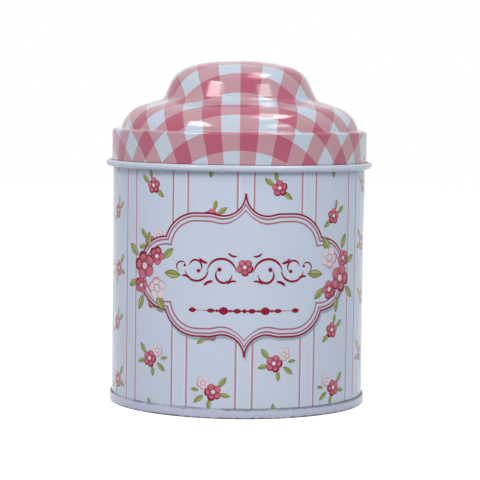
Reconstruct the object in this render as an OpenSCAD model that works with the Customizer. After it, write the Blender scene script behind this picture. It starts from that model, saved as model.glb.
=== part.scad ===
// Round tinplate tea caddy: a rolled wall, a base joined to it by a double seam, a press-in inner
// lid that keeps the tea fresh, and a drawn dome lid that slips over the wall.
// Each piece is formed from one sheet, and is drawn as the section of that sheet, revolved.
// The origin is the centre of the ring that the caddy stands on. +Z is up. The wall's side seam is
// at the back, on +Y.

/* [Sheet] */
// Thickness of the tinplate that every piece is formed from
sheet = 0.2; // [0.18:0.01:0.24]
// Gap between two layers in the base's seam
fold_gap = 0.02; // [0.01:0.01:0.04]

/* [Wall] */
// Outer diameter of the wall
wall_d = 86; // [80:1:100]
// Height of the rolled rim's top above the ground
wall_h = 92.1; // [60:0.1:140]
// Diameter of the rim, which is rolled inwards
rim_curl_d = 2.2; // [1.8:0.1:2.6]
// Width of the folded side seam
side_seam_w = 5; // [4:0.5:7]
// Length at each end of the side seam that is lapped, not folded
side_seam_lap = 6; // [5:0.5:12]
// Width of the groove outside, where the wall's two edges meet
groove_w = 0.35; // [0.25:0.05:0.5]
// Depth of that groove
groove_depth = 0.08; // [0.05:0.01:0.12]

/* [Base] */
// Height of the double seam that joins the base to the wall
base_seam_h = 3.2; // [2.8:0.1:4]
// Radius inside the seam's two bottom edges
base_seam_edge_r = 0.15; // [0.1:0.01:0.2]
// Space left at the tip of each of the seam's two hooks
hook_gap = 0.3; // [0.2:0.05:0.6]
// Height of the base's outer ring above the ground
base_ring_z = 4.4; // [4:0.1:5]
// Width of that ring
base_ring_w = 3.2; // [2.5:0.1:5]
// Drop from the ring to the base's middle panel
base_panel_drop = 0.9; // [0.7:0.1:1.2]
// Radius of the bends in the base's panel
base_bend_r = 0.7; // [0.5:0.1:0.9]

/* [Dome lid] */
// Clearance between the skirt and the wall
skirt_clearance = 0.28; // [0.2:0.01:0.4]
// Height of the skirt, from the bottom of its curl to the ledge
skirt_h = 12.7; // [9:0.1:16]
// Diameter of the curl, which is rolled outwards at the skirt's edge
skirt_curl_d = 2.15; // [1.8:0.05:2.6]
// Radius of the edge between the skirt and the ledge
skirt_edge_r = 1; // [0.6:0.1:1.2]
// Width of the ledge round the dome's foot
ledge_w = 2.95; // [2.4:0.05:3.6]
// Radius of the hollow at the dome's foot
foot_hollow_r = 0.6; // [0.4:0.1:0.9]
// Height of the lower dome's side above the ledge
lower_side_h = 6.3; // [5.5:0.1:7.5]
// Inset of the lower dome's side from its foot to its shoulder
lower_side_inset = 1.65; // [1.2:0.05:2.2]
// Radius of the lower dome's shoulder
lower_shoulder_r = 10.6; // [7:0.1:10.6]
// Height above the ledge of the neck between the two domes
neck_h = 10.25; // [9:0.05:12]
// Diameter of the neck
neck_d = 51.8; // [46:0.1:56]
// Radius of the hollow at the neck
neck_hollow_r = 3.3; // [2:0.1:4]
// Inset of the upper dome's side from the neck to its shoulder
upper_side_inset = 3.5; // [2.5:0.1:5]
// Radius of the upper dome's shoulder
upper_shoulder_r = 10; // [7:0.1:10]
// Height of the whole dome above the ledge
dome_h = 23.3; // [21:0.1:28]
// Drop from the dome's top to the height of its shoulder
crown_drop = 3.4; // [2.8:0.1:4]
// Radius from the axis at which the crown starts to bend down
crown_bend_at = 10.4; // [9:0.1:13]
// Radius of that bend
crown_bend_r = 50; // [40:1:52]

/* [Inner lid] */
// Clearance between the plug and the rolled rim
plug_clearance = 0.12; // [0.08:0.01:0.2]
// Depth of the plug below the rim
plug_depth = 8; // [6:0.1:12]
// Inset of the plug's side from its top to its foot
plug_draft = 0.3; // [0.2:0.05:0.5]
// Clearance between the flange's edge and the skirt
flange_clearance = 0.85; // [0.7:0.05:1.1]
// Width of the hem that is folded under the flange
hem_w = 1.3; // [1:0.1:1.5]
// Gap between the flange and its hem
hem_gap = 0.1; // [0.08:0.01:0.14]
// Diameter of the raised grip in the middle
grip_d = 24; // [18:0.5:30]
// Height of the grip above the inner lid's panel
grip_h = 8.4; // [6:0.1:10]
// Inset of the grip's side from its foot to its top
grip_draft = 0.8; // [0.4:0.1:1.2]
// Radius of the inner lid's bends
press_r = 1.6; // [1:0.1:2]
// Radius of the bend from the flange into the plug
flange_bend_r = 0.6; // [0.4:0.1:0.8]

/* [Fit] */
// Gap between pieces that sit on each other
seat_gap = 0.05; // [0.02:0.01:0.1]

/* [Colours] */
// Colour of the printed wall
wall_colour = "#DCE4F1"; // ["#DCE4F1", "#F2EDE0", "#C8DCCF"]
// Colour of the printed dome lid
lid_colour = "#C9778C"; // ["#C9778C", "#7C93BE", "#7FA487"]
// Colour of the enamelled base
base_colour = "#D2D3E4"; // ["#D2D3E4", "#F2EDE0"]
// Colour of the bare tinplate
tin_colour = "#C4C6C8"; // ["#C4C6C8", "#D9C48C"]

/* [Hidden] */
$fn = 96;

// Largest distance between an arc and its chords, and largest angle of a chord
chord_error = 0.01;
chord_angle = 30;

wall_r = wall_d / 2;
wall_inside_r = wall_r - sheet;

// The base's seam has five layers. From the inside out they are the base's chuck wall, the wall, the
// base's hook, the wall's hook and the base's outer band
layer = sheet + fold_gap;
fold_r = sheet / 2 + fold_gap;
chuck_r = wall_inside_r - fold_gap;
base_hook_r = wall_r + layer;
wall_hook_r = wall_r + layer + fold_gap;
band_inside_r = wall_r + 2 * layer + fold_gap;

// The wall's edges hook into each other, which puts three more layers inside the wall
side_seam_t = 3 * sheet;

// Heights of what sits on the rim: the inner lid's flange, then the dome lid's ledge
flange_z = wall_h + seat_gap;
flange_t = 2 * sheet + hem_gap;
flange_top_z = flange_z + flange_t;
ledge_z = flange_top_z + seat_gap + sheet;

skirt_r = wall_r + skirt_clearance + sheet;
skirt_foot_z = ledge_z - skirt_h;
foot_r = skirt_r - ledge_w;
dome_top_z = ledge_z + dome_h;

plug_r = wall_r - rim_curl_d - plug_clearance;
flange_r = skirt_r - sheet - flange_clearance;
plug_panel_z = flange_z - plug_depth;

// Unit vector along v
function unit(v) = v / norm(v);
// Angle from direction u to direction v, anticlockwise
function turn(u, v) = atan2(u.x * v.y - u.y * v.x, u * v);
// v turned a quarter anticlockwise, which is to the left of v
function left_of(v) = [-v.y, v.x];

// Number of chords that stand for an arc
function chords(r, sweep) =
    ceil(abs(sweep) / min(chord_angle, 2 * acos(1 - chord_error / max(r, chord_error))));
// Points of an arc about c, from the angle start
function arc(c, r, start, sweep) =
    let (n = chords(r, sweep))
    [for (i = [0:n]) c + r * [cos(start + sweep * i / n), sin(start + sweep * i / n)]];

// A corner is [radius, height, fillet]. These give the place of a corner, the line to corner i from
// the one before it, and the angle that the line turns through at corner i
function place(corner) = [corner.x, corner.y];
function line_to(corners, i) = place(corners[i]) - place(corners[i - 1]);
function turn_at(corners, i) = turn(line_to(corners, i), line_to(corners, i + 1));
// Whether corner i is an end of the line or has no fillet
function is_sharp(corners, i) = i == 0 || i == len(corners) - 1 || corners[i].z == 0;
// Length that the fillet at corner i takes from the line on each side of it
function setback(corners, i) =
    is_sharp(corners, i) ? 0 : corners[i].z * tan(abs(turn_at(corners, i)) / 2);
// How many times the line to corner i could hold the fillets at its two ends
function room(corners, i) =
    0.98 * norm(line_to(corners, i)) / (setback(corners, i - 1) + setback(corners, i));
// Points of the fillet at corner i, whose radius is limited by the lines that it joins
function fillet(corners, i) =
    let (r = corners[i].z * min(1, room(corners, i), room(corners, i + 1)))
    let (ahead = unit(line_to(corners, i)), bend = turn_at(corners, i))
    let (start = place(corners[i]) - ahead * r * tan(abs(bend) / 2))
    let (to_centre = sign(bend) * r * left_of(ahead))
    arc(start + to_centre, r, atan2(-to_centre.y, -to_centre.x), bend);
// The line through the corners, with its fillets
function bent(corners) =
    [for (i = [0:len(corners) - 1])
        each is_sharp(corners, i) ? [place(corners[i])] : fillet(corners, i)];

// Direction of the stretch of a line that ends at point i
function direction(line, i) = unit(line[i] - line[i - 1]);
// The line moved by distance to its left
function moved_left(line, distance) =
    let (last = len(line) - 1)
    [for (i = [0:last])
        let (before = direction(line, max(i, 1)), after = direction(line, min(i + 1, last)))
        let (middle = unit(before + after))
        line[i] + left_of(middle) * distance / (middle * before)];

// One sheet revolved about Z. The line is one face of the sheet's section, which lies to its left
module formed(line) {
    other_face = moved_left(line, sheet);
    rotate_extrude()
        polygon(concat(line, [for (i = [len(line) - 1:-1:0]) other_face[i]]));
}

// Sector of a ring in plan, centred on the back
module back_sector(inner_r, outer_r, width) {
    half = asin(width / 2 / outer_r);
    reach = 2 * outer_r;
    intersection() {
        difference() {
            circle(outer_r);
            circle(inner_r);
        }
        polygon([[0, 0], reach * [sin(half), cos(half)], reach * [-sin(half), cos(half)]]);
    }
}

// The two hooked edges, pressed flat inside the wall. The folds along its sides are round
module side_seam() {
    fold_at = wall_inside_r - side_seam_t / 2;
    linear_extrude(wall_h - 2 * side_seam_lap) {
        back_sector(wall_inside_r - side_seam_t, wall_r - sheet / 2, side_seam_w);
        for (side = [-1, 1])
            rotate(side * asin(side_seam_w / 2 / wall_r))
                translate([0, fold_at])
                    circle(d = side_seam_t);
    }
}

// The groove runs between the base's seam and the rolled rim, over one edge of the side seam
module groove() {
    rotate(-asin((side_seam_w / 2 - groove_w) / wall_r))
        translate([0, 0, base_seam_h])
            linear_extrude(wall_h - rim_curl_d - base_seam_h)
                back_sector(wall_r - groove_depth, wall_r + sheet, groove_w);
}

// From the tip of its hook in the base's seam, under the fold, up the wall and round the rolled rim
function wall_line() =
    concat(
        [[wall_hook_r, base_seam_h - sheet - hook_gap]],
        arc([wall_r + fold_r, layer + sheet + fold_r], fold_r, 0, -180),
        arc([wall_r - rim_curl_d / 2, wall_h - rim_curl_d / 2], rim_curl_d / 2, 0, 290)
    );

module wall() {
    color(wall_colour) {
        difference() {
            union() {
                formed(wall_line());
                translate([0, 0, side_seam_lap]) side_seam();
            }
            groove();
        }
    }
}

// From the tip of its hook, over the fold and down the outer band, under the seam, up the chuck
// wall, across the ring, down its step and across the middle panel
function base_line() =
    let (step_r = chuck_r - base_ring_w, panel_z = base_ring_z - base_panel_drop)
    concat(
        [[base_hook_r, layer + sheet + hook_gap]],
        arc([base_hook_r + fold_r, base_seam_h - sheet - fold_r], fold_r, 180, -180),
        bent([
            [band_inside_r, base_seam_h / 2, 0],
            [band_inside_r, sheet, base_seam_edge_r],
            [chuck_r, sheet, base_seam_edge_r],
            [chuck_r, base_ring_z, base_bend_r],
            [step_r, base_ring_z, base_bend_r],
            [step_r - base_panel_drop, panel_z, base_bend_r],
            [0, panel_z, 0]
        ])
    );

module base() {
    color(base_colour) formed(base_line());
}

// From the tip of the hem, round the fold, across the flange, down the plug, across the panel and
// up and over the grip
function inner_lid_line() =
    let (fold_outside_r = flange_t / 2, panel_top_z = plug_panel_z + sheet, grip_r = grip_d / 2)
    concat(
        [[flange_r - hem_w, flange_z]],
        arc([flange_r - fold_outside_r, flange_z + fold_outside_r], fold_outside_r, -90, 180),
        bent([
            [flange_r - hem_w / 2, flange_top_z, 0],
            [plug_r - sheet, flange_top_z, flange_bend_r],
            [plug_r - sheet - plug_draft, panel_top_z, press_r - sheet],
            [grip_r, panel_top_z, press_r],
            [grip_r - grip_draft, panel_top_z + grip_h, press_r],
            [0, panel_top_z + grip_h, 0]
        ])
    );

module inner_lid() {
    color(tin_colour) formed(inner_lid_line());
}

// From the tip of the curl, under it and up the skirt, across the ledge and over both domes
function dome_lid_line() =
    let (curl_r = skirt_curl_d / 2, neck_r = neck_d / 2, neck_z = ledge_z + neck_h)
    concat(
        arc([skirt_r - sheet + curl_r, skirt_foot_z + curl_r], curl_r - sheet, 120, -300),
        bent([
            [skirt_r, skirt_foot_z + skirt_curl_d, 0],
            [skirt_r, ledge_z, skirt_edge_r],
            [foot_r, ledge_z, foot_hollow_r],
            [foot_r - lower_side_inset, ledge_z + lower_side_h, lower_shoulder_r],
            [neck_r, neck_z, neck_hollow_r],
            [neck_r - upper_side_inset, dome_top_z - crown_drop, upper_shoulder_r],
            [crown_bend_at, dome_top_z, crown_bend_r],
            [0, dome_top_z, 0]
        ])
    );

module dome_lid() {
    color(lid_colour) formed(dome_lid_line());
}

wall();
base();
inner_lid();
dome_lid();
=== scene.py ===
"""A tea caddy pressed from printed tinplate: wall, base, press-in inner lid and dome lid."""

from math import atan2, ceil, cos, degrees, hypot, pi, radians, sin, tan

import bmesh
import bpy
from mathutils import Matrix, Vector


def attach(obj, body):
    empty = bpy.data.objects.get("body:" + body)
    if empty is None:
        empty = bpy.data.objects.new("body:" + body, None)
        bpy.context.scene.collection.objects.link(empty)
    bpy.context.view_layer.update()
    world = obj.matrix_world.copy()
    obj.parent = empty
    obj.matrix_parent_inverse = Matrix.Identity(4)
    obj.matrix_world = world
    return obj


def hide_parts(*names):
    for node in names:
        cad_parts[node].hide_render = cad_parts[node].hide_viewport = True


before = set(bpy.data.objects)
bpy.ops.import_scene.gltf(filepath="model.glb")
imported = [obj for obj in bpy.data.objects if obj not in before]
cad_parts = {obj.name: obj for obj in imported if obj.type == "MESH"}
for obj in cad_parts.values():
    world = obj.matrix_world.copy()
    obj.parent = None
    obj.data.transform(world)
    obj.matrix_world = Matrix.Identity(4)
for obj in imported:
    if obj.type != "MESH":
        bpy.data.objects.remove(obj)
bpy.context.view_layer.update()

bl_info = {
    "name": "Tea Caddy",
    "version": (1, 0, 0),
    "blender": (4, 5, 0),
    "location": "View3D > Sidebar > Tea Caddy",
    "description": "Builds a printed tinplate tea caddy with an inner lid and a dome lid",
    "category": "Add Mesh",
}

MM = 0.001


# ---------------------------------------------------------------- settings


def length(name, description, millimetres, low=0.0, high=500.0):
    """A size in metres, given here in millimetres."""
    return bpy.props.FloatProperty(
        name=name,
        description=description,
        default=millimetres * MM,
        min=low * MM,
        max=high * MM,
        subtype="DISTANCE",
        unit="LENGTH",
        precision=5,
    )


def colour(name, description, red, green, blue):
    """A colour given as the 0 to 255 values of a display."""
    return bpy.props.FloatVectorProperty(
        name=name,
        description=description,
        default=(linear(red), linear(green), linear(blue)),
        min=0.0,
        max=1.0,
        subtype="COLOR",
        size=3,
    )


def linear(value):
    """A display value, 0 to 255, as the linear light it stands for."""
    share = value / 255
    return share / 12.92 if share <= 0.04045 else ((share + 0.055) / 1.055) ** 2.4


def strength(name, description, default):
    """How strong a light is; a white face under a strength of 1 from all sides looks white."""
    return bpy.props.FloatProperty(name=name, description=description, default=default, min=0)


class CaddyCanSizes(bpy.types.PropertyGroup):
    """Sizes of the can: its wall and its seamed base."""

    sheet: length("Sheet", "Thickness of the tinplate", 0.2)
    fold_gap: length("Fold gap", "Clearance between the layers of a fold", 0.02)
    wall_diameter: length("Wall diameter", "Outside diameter of the wall", 86)
    wall_height: length("Wall height", "Height of the rolled rim above the table", 92.1)
    rim_curl: length("Rim curl", "Diameter of the rim, rolled inwards", 2.2)
    side_seam_width: length("Side seam width", "Width of the hooked seam inside the wall", 5)
    side_seam_lap: length("Side seam lap", "Distance from the seam's ends to the can's ends", 6)
    groove_width: length("Groove width", "Width of the groove outside the side seam", 0.35)
    groove_depth: length("Groove depth", "Depth of the groove outside the side seam", 0.08)
    seam_height: length("Base seam height", "Height of the base's double seam", 3.2)
    seam_edge: length("Base seam edge", "Radius of the base seam's lower edge", 0.15)
    hook_gap: length("Hook gap", "Space over the ends of the two seam hooks", 0.3)
    ring_height: length("Ring height", "Height of the ring inside the base seam", 4.4)
    ring_width: length("Ring width", "Width of the ring inside the base seam", 3.2)
    panel_drop: length("Panel drop", "Step from the ring down to the base panel", 0.9)
    base_bend: length("Base bend", "Radius of the bends pressed in the base", 0.7)


class CaddyLidSizes(bpy.types.PropertyGroup):
    """Sizes of the two lids."""

    skirt_clearance: length("Skirt clearance", "Gap between the skirt and the wall", 0.28)
    skirt_height: length("Skirt height", "Height of the skirt below the ledge", 12.7)
    skirt_curl: length("Skirt curl", "Diameter of the curl at the skirt's edge", 2.15)
    skirt_edge: length("Skirt edge", "Radius between the skirt and the ledge", 1)
    ledge_width: length("Ledge width", "Width of the ledge round the lower dome", 2.95)
    foot_hollow: length("Foot hollow", "Radius between the ledge and the lower dome", 0.6)
    lower_height: length("Lower side height", "Height of the lower dome's side", 6.3)
    lower_inset: length("Lower side inset", "How far the lower dome's side leans in", 1.65)
    lower_shoulder: length("Lower shoulder", "Radius of the lower dome's shoulder", 10.6)
    neck_height: length("Neck height", "Height of the neck above the ledge", 10.17)
    neck_diameter: length("Neck diameter", "Diameter at the neck", 52.33)
    neck_hollow: length("Neck hollow", "Radius of the hollow at the neck", 3.3)
    upper_inset: length("Upper side inset", "How far the upper dome's side leans in", 4.295)
    upper_shoulder: length("Upper shoulder", "Radius of the upper dome's shoulder", 10.2)
    dome_height: length("Dome height", "Height of the crown above the ledge", 23.3)
    crown_drop: length("Crown drop", "Rise of the crown above the upper shoulder", 3.25)
    crown_flat: length("Crown bend place", "Radius at which the crown's bend is centred", 10.4)
    crown_bend: length("Crown bend", "Radius of the crown's bend", 50)
    plug_clearance: length("Plug clearance", "Gap between the plug and the rolled rim", 0.12)
    plug_depth: length("Plug depth", "Depth of the inner lid's panel below its flange", 8)
    plug_draft: length("Plug draft", "How far the plug's side leans in", 0.3)
    flange_clearance: length("Flange clearance", "Gap between the flange and the skirt", 0.85)
    hem_width: length("Hem width", "Width of the folded hem under the flange", 1.3)
    hem_gap: length("Hem gap", "Space inside the folded hem", 0.1)
    grip_diameter: length("Grip diameter", "Diameter of the raised grip", 24)
    grip_height: length("Grip height", "Height of the raised grip", 8.4)
    grip_draft: length("Grip draft", "How far the grip's side leans in", 0.8)
    press_bend: length("Press bend", "Radius of the bends pressed in the inner lid", 1.6)
    flange_bend: length("Flange bend", "Radius between the flange and the plug", 0.6)
    seat_gap: length("Seat gap", "Gap drawn between pieces that rest on each other", 0.05)


# ---------------------------------------------------------------- pressed sheets

SPIN_STEPS = 192
SMALL_BEND = 0.5 * MM
SMALL_BEND_STEP = 12
BEND_STEP = 5
BEND_CHORD = 0.6 * MM
LONG_RUN = 1.2 * MM
RUN_SUPPORT = 0.3 * MM
SHARP_ANGLE = radians(40)
MERGE = 0.001 * MM


def spun(bm, geom, angle, steps, centre=(0, 0, 0), axis=(0, 0, 1), merge=False):
    """Spins the geometry, about the caddy's axis where no other is given."""
    return bmesh.ops.spin(
        bm,
        geom=geom,
        cent=centre,
        axis=axis,
        angle=angle,
        steps=steps,
        use_merge=merge,
        use_duplicate=False,
    )


class SheetLine:
    """The sheet's face in section, drawn as a chain of edges: x is the radius and z the height."""

    def __init__(self, bm, radius, height):
        self.bm = bm
        self.start = Vector((radius, 0, height))
        self.tip = bm.verts.new(self.start)

    def step_to(self, place):
        new = bmesh.ops.extrude_vert_indiv(self.bm, verts=[self.tip])["verts"][0]
        bmesh.ops.translate(self.bm, verts=[new], vec=place - self.tip.co)
        self.tip = new

    def straight(self, radius, height):
        """A straight run; a long one gets a vertex near each end, to keep its shading flat."""
        start = self.tip.co.copy()
        end = Vector((radius, 0, height))
        run = end - start
        if run.length > LONG_RUN:
            support = run.normalized() * RUN_SUPPORT
            self.step_to(start + support)
            self.step_to(end - support)
        if run.length > MERGE:
            self.step_to(end)

    def turn(self, radius, height, sweep):
        """A bend of so many degrees about a centre, anticlockwise where sweep is positive."""
        centre = Vector((radius, 0, height))
        reach = (self.tip.co - centre).length
        step = SMALL_BEND_STEP if reach < SMALL_BEND else BEND_STEP
        steps = ceil(max(abs(sweep) / step, radians(abs(sweep)) * reach / BEND_CHORD))
        for _ in range(steps):
            last = spun(self.bm, [self.tip], radians(sweep) / steps, 1, centre, (0, -1, 0))
            made = last["geom_last"]
            self.tip = next(item for item in made if isinstance(item, bmesh.types.BMVert))

    def verts(self):
        """The line's vertices from its start to its tip."""
        here = min(self.bm.verts, key=lambda vert: (vert.co - self.start).length)
        chain, edge = [here], None
        while edge is None or len(here.link_edges) > 1:
            edge = next(link for link in here.link_edges if link is not edge)
            here = edge.other_vert(here)
            chain.append(here)
        return chain

    def pressed(self, *corners):
        """Runs through corners (radius, height, bend radius), each bend tangent to its runs."""
        for before, corner, after in zip(corners, corners[1:], corners[2:]):
            self.straight_and_bend(before, corner, after)
        self.straight(corners[-1][0], corners[-1][1])

    def straight_and_bend(self, before, corner, after):
        place = Vector(corner[:2])
        towards = (place - Vector(before[:2])).normalized()
        onwards = (Vector(after[:2]) - place).normalized()
        sweep = atan2(towards.x * onwards.y - towards.y * onwards.x, towards.dot(onwards))
        setback = corner[2] * tan(abs(sweep) / 2)
        start = place - towards * setback
        self.straight(start.x, start.y)
        if corner[2] > 0:
            side = corner[2] if sweep > 0 else -corner[2]
            self.turn(start.x - towards.y * side, start.y + towards.x * side, degrees(sweep))


def formed_sheet(bm, line, thickness):
    """Spins the line once round, gives it its thickness on the left of its direction and
    returns the vertices of the drawn face. The layer "along" holds how far a vertex is down
    the sheet."""
    along = bm.verts.layers.float.new("along")
    far = 0.0
    chain = line.verts()
    for before, vert in zip(chain, chain[1:]):
        far += (vert.co - before.co).length
        vert[along] = far
    first, second = chain[0], chain[1]
    way = second.co - first.co
    outside = Vector((way.z, 0, -way.x))
    place = (first.co + second.co) / 2
    spun(bm, bm.verts[:] + bm.edges[:], 2 * pi, SPIN_STEPS, merge=True)
    bmesh.ops.remove_doubles(bm, verts=bm.verts[:], dist=MERGE)
    bmesh.ops.recalc_face_normals(bm, faces=bm.faces[:])
    nearest = min(bm.faces, key=lambda face: (face.calc_center_median() - place).length)
    if nearest.normal.dot(outside) < 0:
        bmesh.ops.reverse_faces(bm, faces=bm.faces[:])
    face_verts = set(bm.verts)
    bmesh.ops.solidify(bm, geom=bm.faces[:], thickness=thickness)
    return face_verts


def give_sides(bm, face_verts, face_slot, back_slot, edge_slot):
    """Gives the drawn face, its back and the cut edges their material slots."""
    for face in bm.faces:
        drawn = sum(vert in face_verts for vert in face.verts)
        if drawn == len(face.verts):
            face.material_index = face_slot
        elif drawn == 0:
            face.material_index = back_slot
        else:
            face.material_index = edge_slot


def map_wall(bm, radius):
    """Lays the wall's sheet flat: u runs round from the front, v is the height, in metres."""
    uv = bm.loops.layers.uv.new("sheet")
    for face in bm.faces:
        centre = face.calc_center_median()
        middle = atan2(centre.x, -centre.y)
        for loop in face.loops:
            spot = loop.vert.co
            angle = atan2(spot.x, -spot.y)
            if angle - middle > pi:
                angle -= 2 * pi
            elif middle - angle > pi:
                angle += 2 * pi
            loop[uv].uv = (radius * angle, spot.z)


def map_disc(bm):
    """Lays a pressed disc flat: each vertex as far from the centre as along the sheet."""
    uv = bm.loops.layers.uv.new("sheet")
    along = bm.verts.layers.float["along"]
    total = max(vert[along] for vert in bm.verts)
    for face in bm.faces:
        for loop in face.loops:
            spot = loop.vert.co
            reach = hypot(spot.x, spot.y)
            far = total - loop.vert[along]
            if reach < MERGE:
                loop[uv].uv = (0, 0)
            else:
                loop[uv].uv = (far * spot.x / reach, far * spot.y / reach)


def placed(name, data):
    """A new object in the scene."""
    thing = bpy.data.objects.new(name, data)
    bpy.context.scene.collection.objects.link(thing)
    return thing


def meshed(bm, name, materials):
    """Turns the bmesh into an object."""
    mesh = bpy.data.meshes.new(name)
    bm.to_mesh(mesh)
    bm.free()
    for material in materials:
        mesh.materials.append(material)
    return placed(name, mesh)


def finished(bm, name, materials):
    """Turns the bmesh into a smooth-shaded object with its cut edges sharp."""
    for face in bm.faces:
        face.smooth = True
    for edge in bm.edges:
        edge.smooth = edge.calc_face_angle(0) < SHARP_ANGLE
    return meshed(bm, name, materials)


# ---------------------------------------------------------------- the four pieces


RIM_SWEEP = 290
CURL_START = radians(120)
CURL_SWEEP = -300


def can_lines(can):
    """The wall's radius, a layer of the seam with its clearance, and the radius of a fold."""
    layer = can.sheet + can.fold_gap
    return can.wall_diameter / 2, layer, can.sheet / 2 + can.fold_gap


def build_wall(can, materials):
    """Hook in the base's seam, fold, wall and rolled rim, with the side seam at the back."""
    wall_radius, layer, fold = can_lines(can)
    curl = can.rim_curl / 2
    bm = bmesh.new()
    line = SheetLine(bm, wall_radius + 2 * fold, can.seam_height - can.sheet - can.hook_gap)
    line.straight(wall_radius + 2 * fold, layer + can.sheet + fold)
    line.turn(wall_radius + fold, layer + can.sheet + fold, -180)
    line.straight(wall_radius, can.wall_height - curl)
    line.turn(wall_radius - curl, can.wall_height - curl, RIM_SWEEP)
    face_verts = formed_sheet(bm, line, can.sheet)
    give_sides(bm, face_verts, 0, 1, 1)
    cut_groove(bm, can)
    add_side_seam(bm, can)
    map_wall(bm, wall_radius)
    piece = finished(bm, "can_wall", materials)
    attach(piece, "can")
    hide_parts("wall")


FACE_NEARNESS = 0.05 * MM
GROOVE_REACH = 2 * MM


def cut_groove(bm, can):
    """Presses a fine V groove down the outside, over one edge of the side seam."""
    wall_radius = can.wall_diameter / 2
    half = can.groove_width / 2
    middle = (can.side_seam_width / 2 - can.groove_width) / wall_radius
    low, high = can.seam_height, can.wall_height - can.rim_curl
    deep_low, deep_high = low + RUN_SUPPORT, high - RUN_SUPPORT
    across = Matrix.Rotation(-middle, 3, "Z") @ Vector((1, 0, 0))
    up = Vector((0, 0, 1))
    cuts = [(across * offset, across) for offset in (-half, 0, half)]
    cuts += [(up * height, up) for height in (low, deep_low, deep_high, high)]
    for place, normal in cuts:
        bmesh.ops.bisect_plane(
            bm,
            geom=groove_faces(bm, wall_radius, across, half),
            dist=MERGE,
            plane_co=place,
            plane_no=normal,
            use_snap_center=False,
            clear_outer=False,
            clear_inner=False,
        )
    for vert in bm.verts:
        spot = vert.co
        outside = abs(hypot(spot.x, spot.y) - wall_radius) < FACE_NEARNESS
        in_line = abs(spot.dot(across)) < MERGE and deep_low - MERGE < spot.z < deep_high + MERGE
        if outside and in_line and spot.y > 0:
            shrink = 1 - can.groove_depth / wall_radius
            vert.co = Vector((spot.x * shrink, spot.y * shrink, spot.z))


def groove_faces(bm, wall_radius, across, half):
    """The outer faces about the groove, with their edges and vertices."""
    near = set()
    for face in bm.faces:
        centre = face.calc_center_median()
        outside = abs(hypot(centre.x, centre.y) - wall_radius) < FACE_NEARNESS
        if outside and centre.y > 0 and abs(centre.dot(across)) < half + GROOVE_REACH:
            near.add(face)
            near.update(face.edges)
            near.update(face.verts)
    return list(near)


SEAM_LAYERS = 3
SEAM_STEPS = 6
SEAM_SIDE_ANGLE = radians(60)
SEAM_ROUNDING = 0.8
SEAM_ROUND_STEPS = 5


def add_side_seam(bm, can):
    """The two hooked edges pressed flat inside the wall: a low ridge with round sides."""
    wall_radius = can.wall_diameter / 2
    inside = wall_radius - can.sheet
    thick = SEAM_LAYERS * can.sheet
    half_angle = can.side_seam_width / 2 / wall_radius
    low, high = can.side_seam_lap, can.wall_height - can.side_seam_lap
    made = bmesh.ops.create_grid(bm, x_segments=1, y_segments=1, size=0.5)["verts"]
    for vert in made:
        deep = vert.co.x < 0
        radius = inside - thick if deep else inside + can.sheet / 2
        vert.co = Vector((0, radius, low if vert.co.y < 0 else high))
    start = Matrix.Rotation(-half_angle, 3, "Z")
    bmesh.ops.rotate(bm, verts=made, cent=(0, 0, 0), matrix=start)
    section = made + list({edge for vert in made for edge in vert.link_edges})
    section += list({face for vert in made for face in vert.link_faces})
    before = set(bm.faces) - set(section)
    spun(bm, section, 2 * half_angle, SEAM_STEPS)
    ridge = [face for face in bm.faces if face not in before]
    bmesh.ops.recalc_face_normals(bm, faces=ridge)
    for face in ridge:
        face.material_index = 1
    sides = [
        edge
        for edge in {edge for face in ridge for edge in face.edges}
        if edge.calc_face_angle(0) > SEAM_SIDE_ANGLE
        and all(hypot(vert.co.x, vert.co.y) < inside - thick / 2 for vert in edge.verts)
    ]
    bmesh.ops.bevel(
        bm,
        geom=sides,
        offset=thick * SEAM_ROUNDING,
        offset_type="OFFSET",
        affect="EDGES",
        segments=SEAM_ROUND_STEPS,
        profile=0.5,
        material=-1,
        clamp_overlap=True,
    )


def build_base(can, materials):
    """Hook, outer band, seam edge, chuck wall, ring and panel, folded round the wall's flange."""
    wall_radius, layer, fold = can_lines(can)
    hook = wall_radius + layer
    band = wall_radius + 2 * layer + can.fold_gap
    chuck = wall_radius - can.sheet - can.fold_gap
    step = chuck - can.ring_width
    panel = can.ring_height - can.panel_drop
    bm = bmesh.new()
    line = SheetLine(bm, hook, layer + can.sheet + can.hook_gap)
    line.straight(hook, can.seam_height - can.sheet - fold)
    line.turn(hook + fold, can.seam_height - can.sheet - fold, -180)
    line.straight(band, can.seam_height / 2)
    line.pressed(
        (band, can.seam_height / 2, 0),
        (band, can.sheet, can.seam_edge),
        (chuck, can.sheet, can.seam_edge),
        (chuck, can.ring_height, can.base_bend),
        (step, can.ring_height, can.base_bend),
        (step - can.panel_drop, panel, can.base_bend),
        (0, panel, 0),
    )
    face_verts = formed_sheet(bm, line, can.sheet)
    give_sides(bm, face_verts, 1, 0, 0)
    map_disc(bm)
    piece = finished(bm, "can_base", materials)
    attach(piece, "can")
    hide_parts("base")


def flange_height(can, lids):
    """Height of the underside of the inner lid's flange."""
    return can.wall_height + lids.seat_gap


def ledge_level(can, lids):
    """Height of the ledge's upper face on the dome lid."""
    flange_top = flange_height(can, lids) + 2 * can.sheet + lids.hem_gap
    return flange_top + lids.seat_gap + can.sheet


def skirt_radius(can, lids):
    """Outside radius of the skirt."""
    return can.wall_diameter / 2 + lids.skirt_clearance + can.sheet


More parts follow.
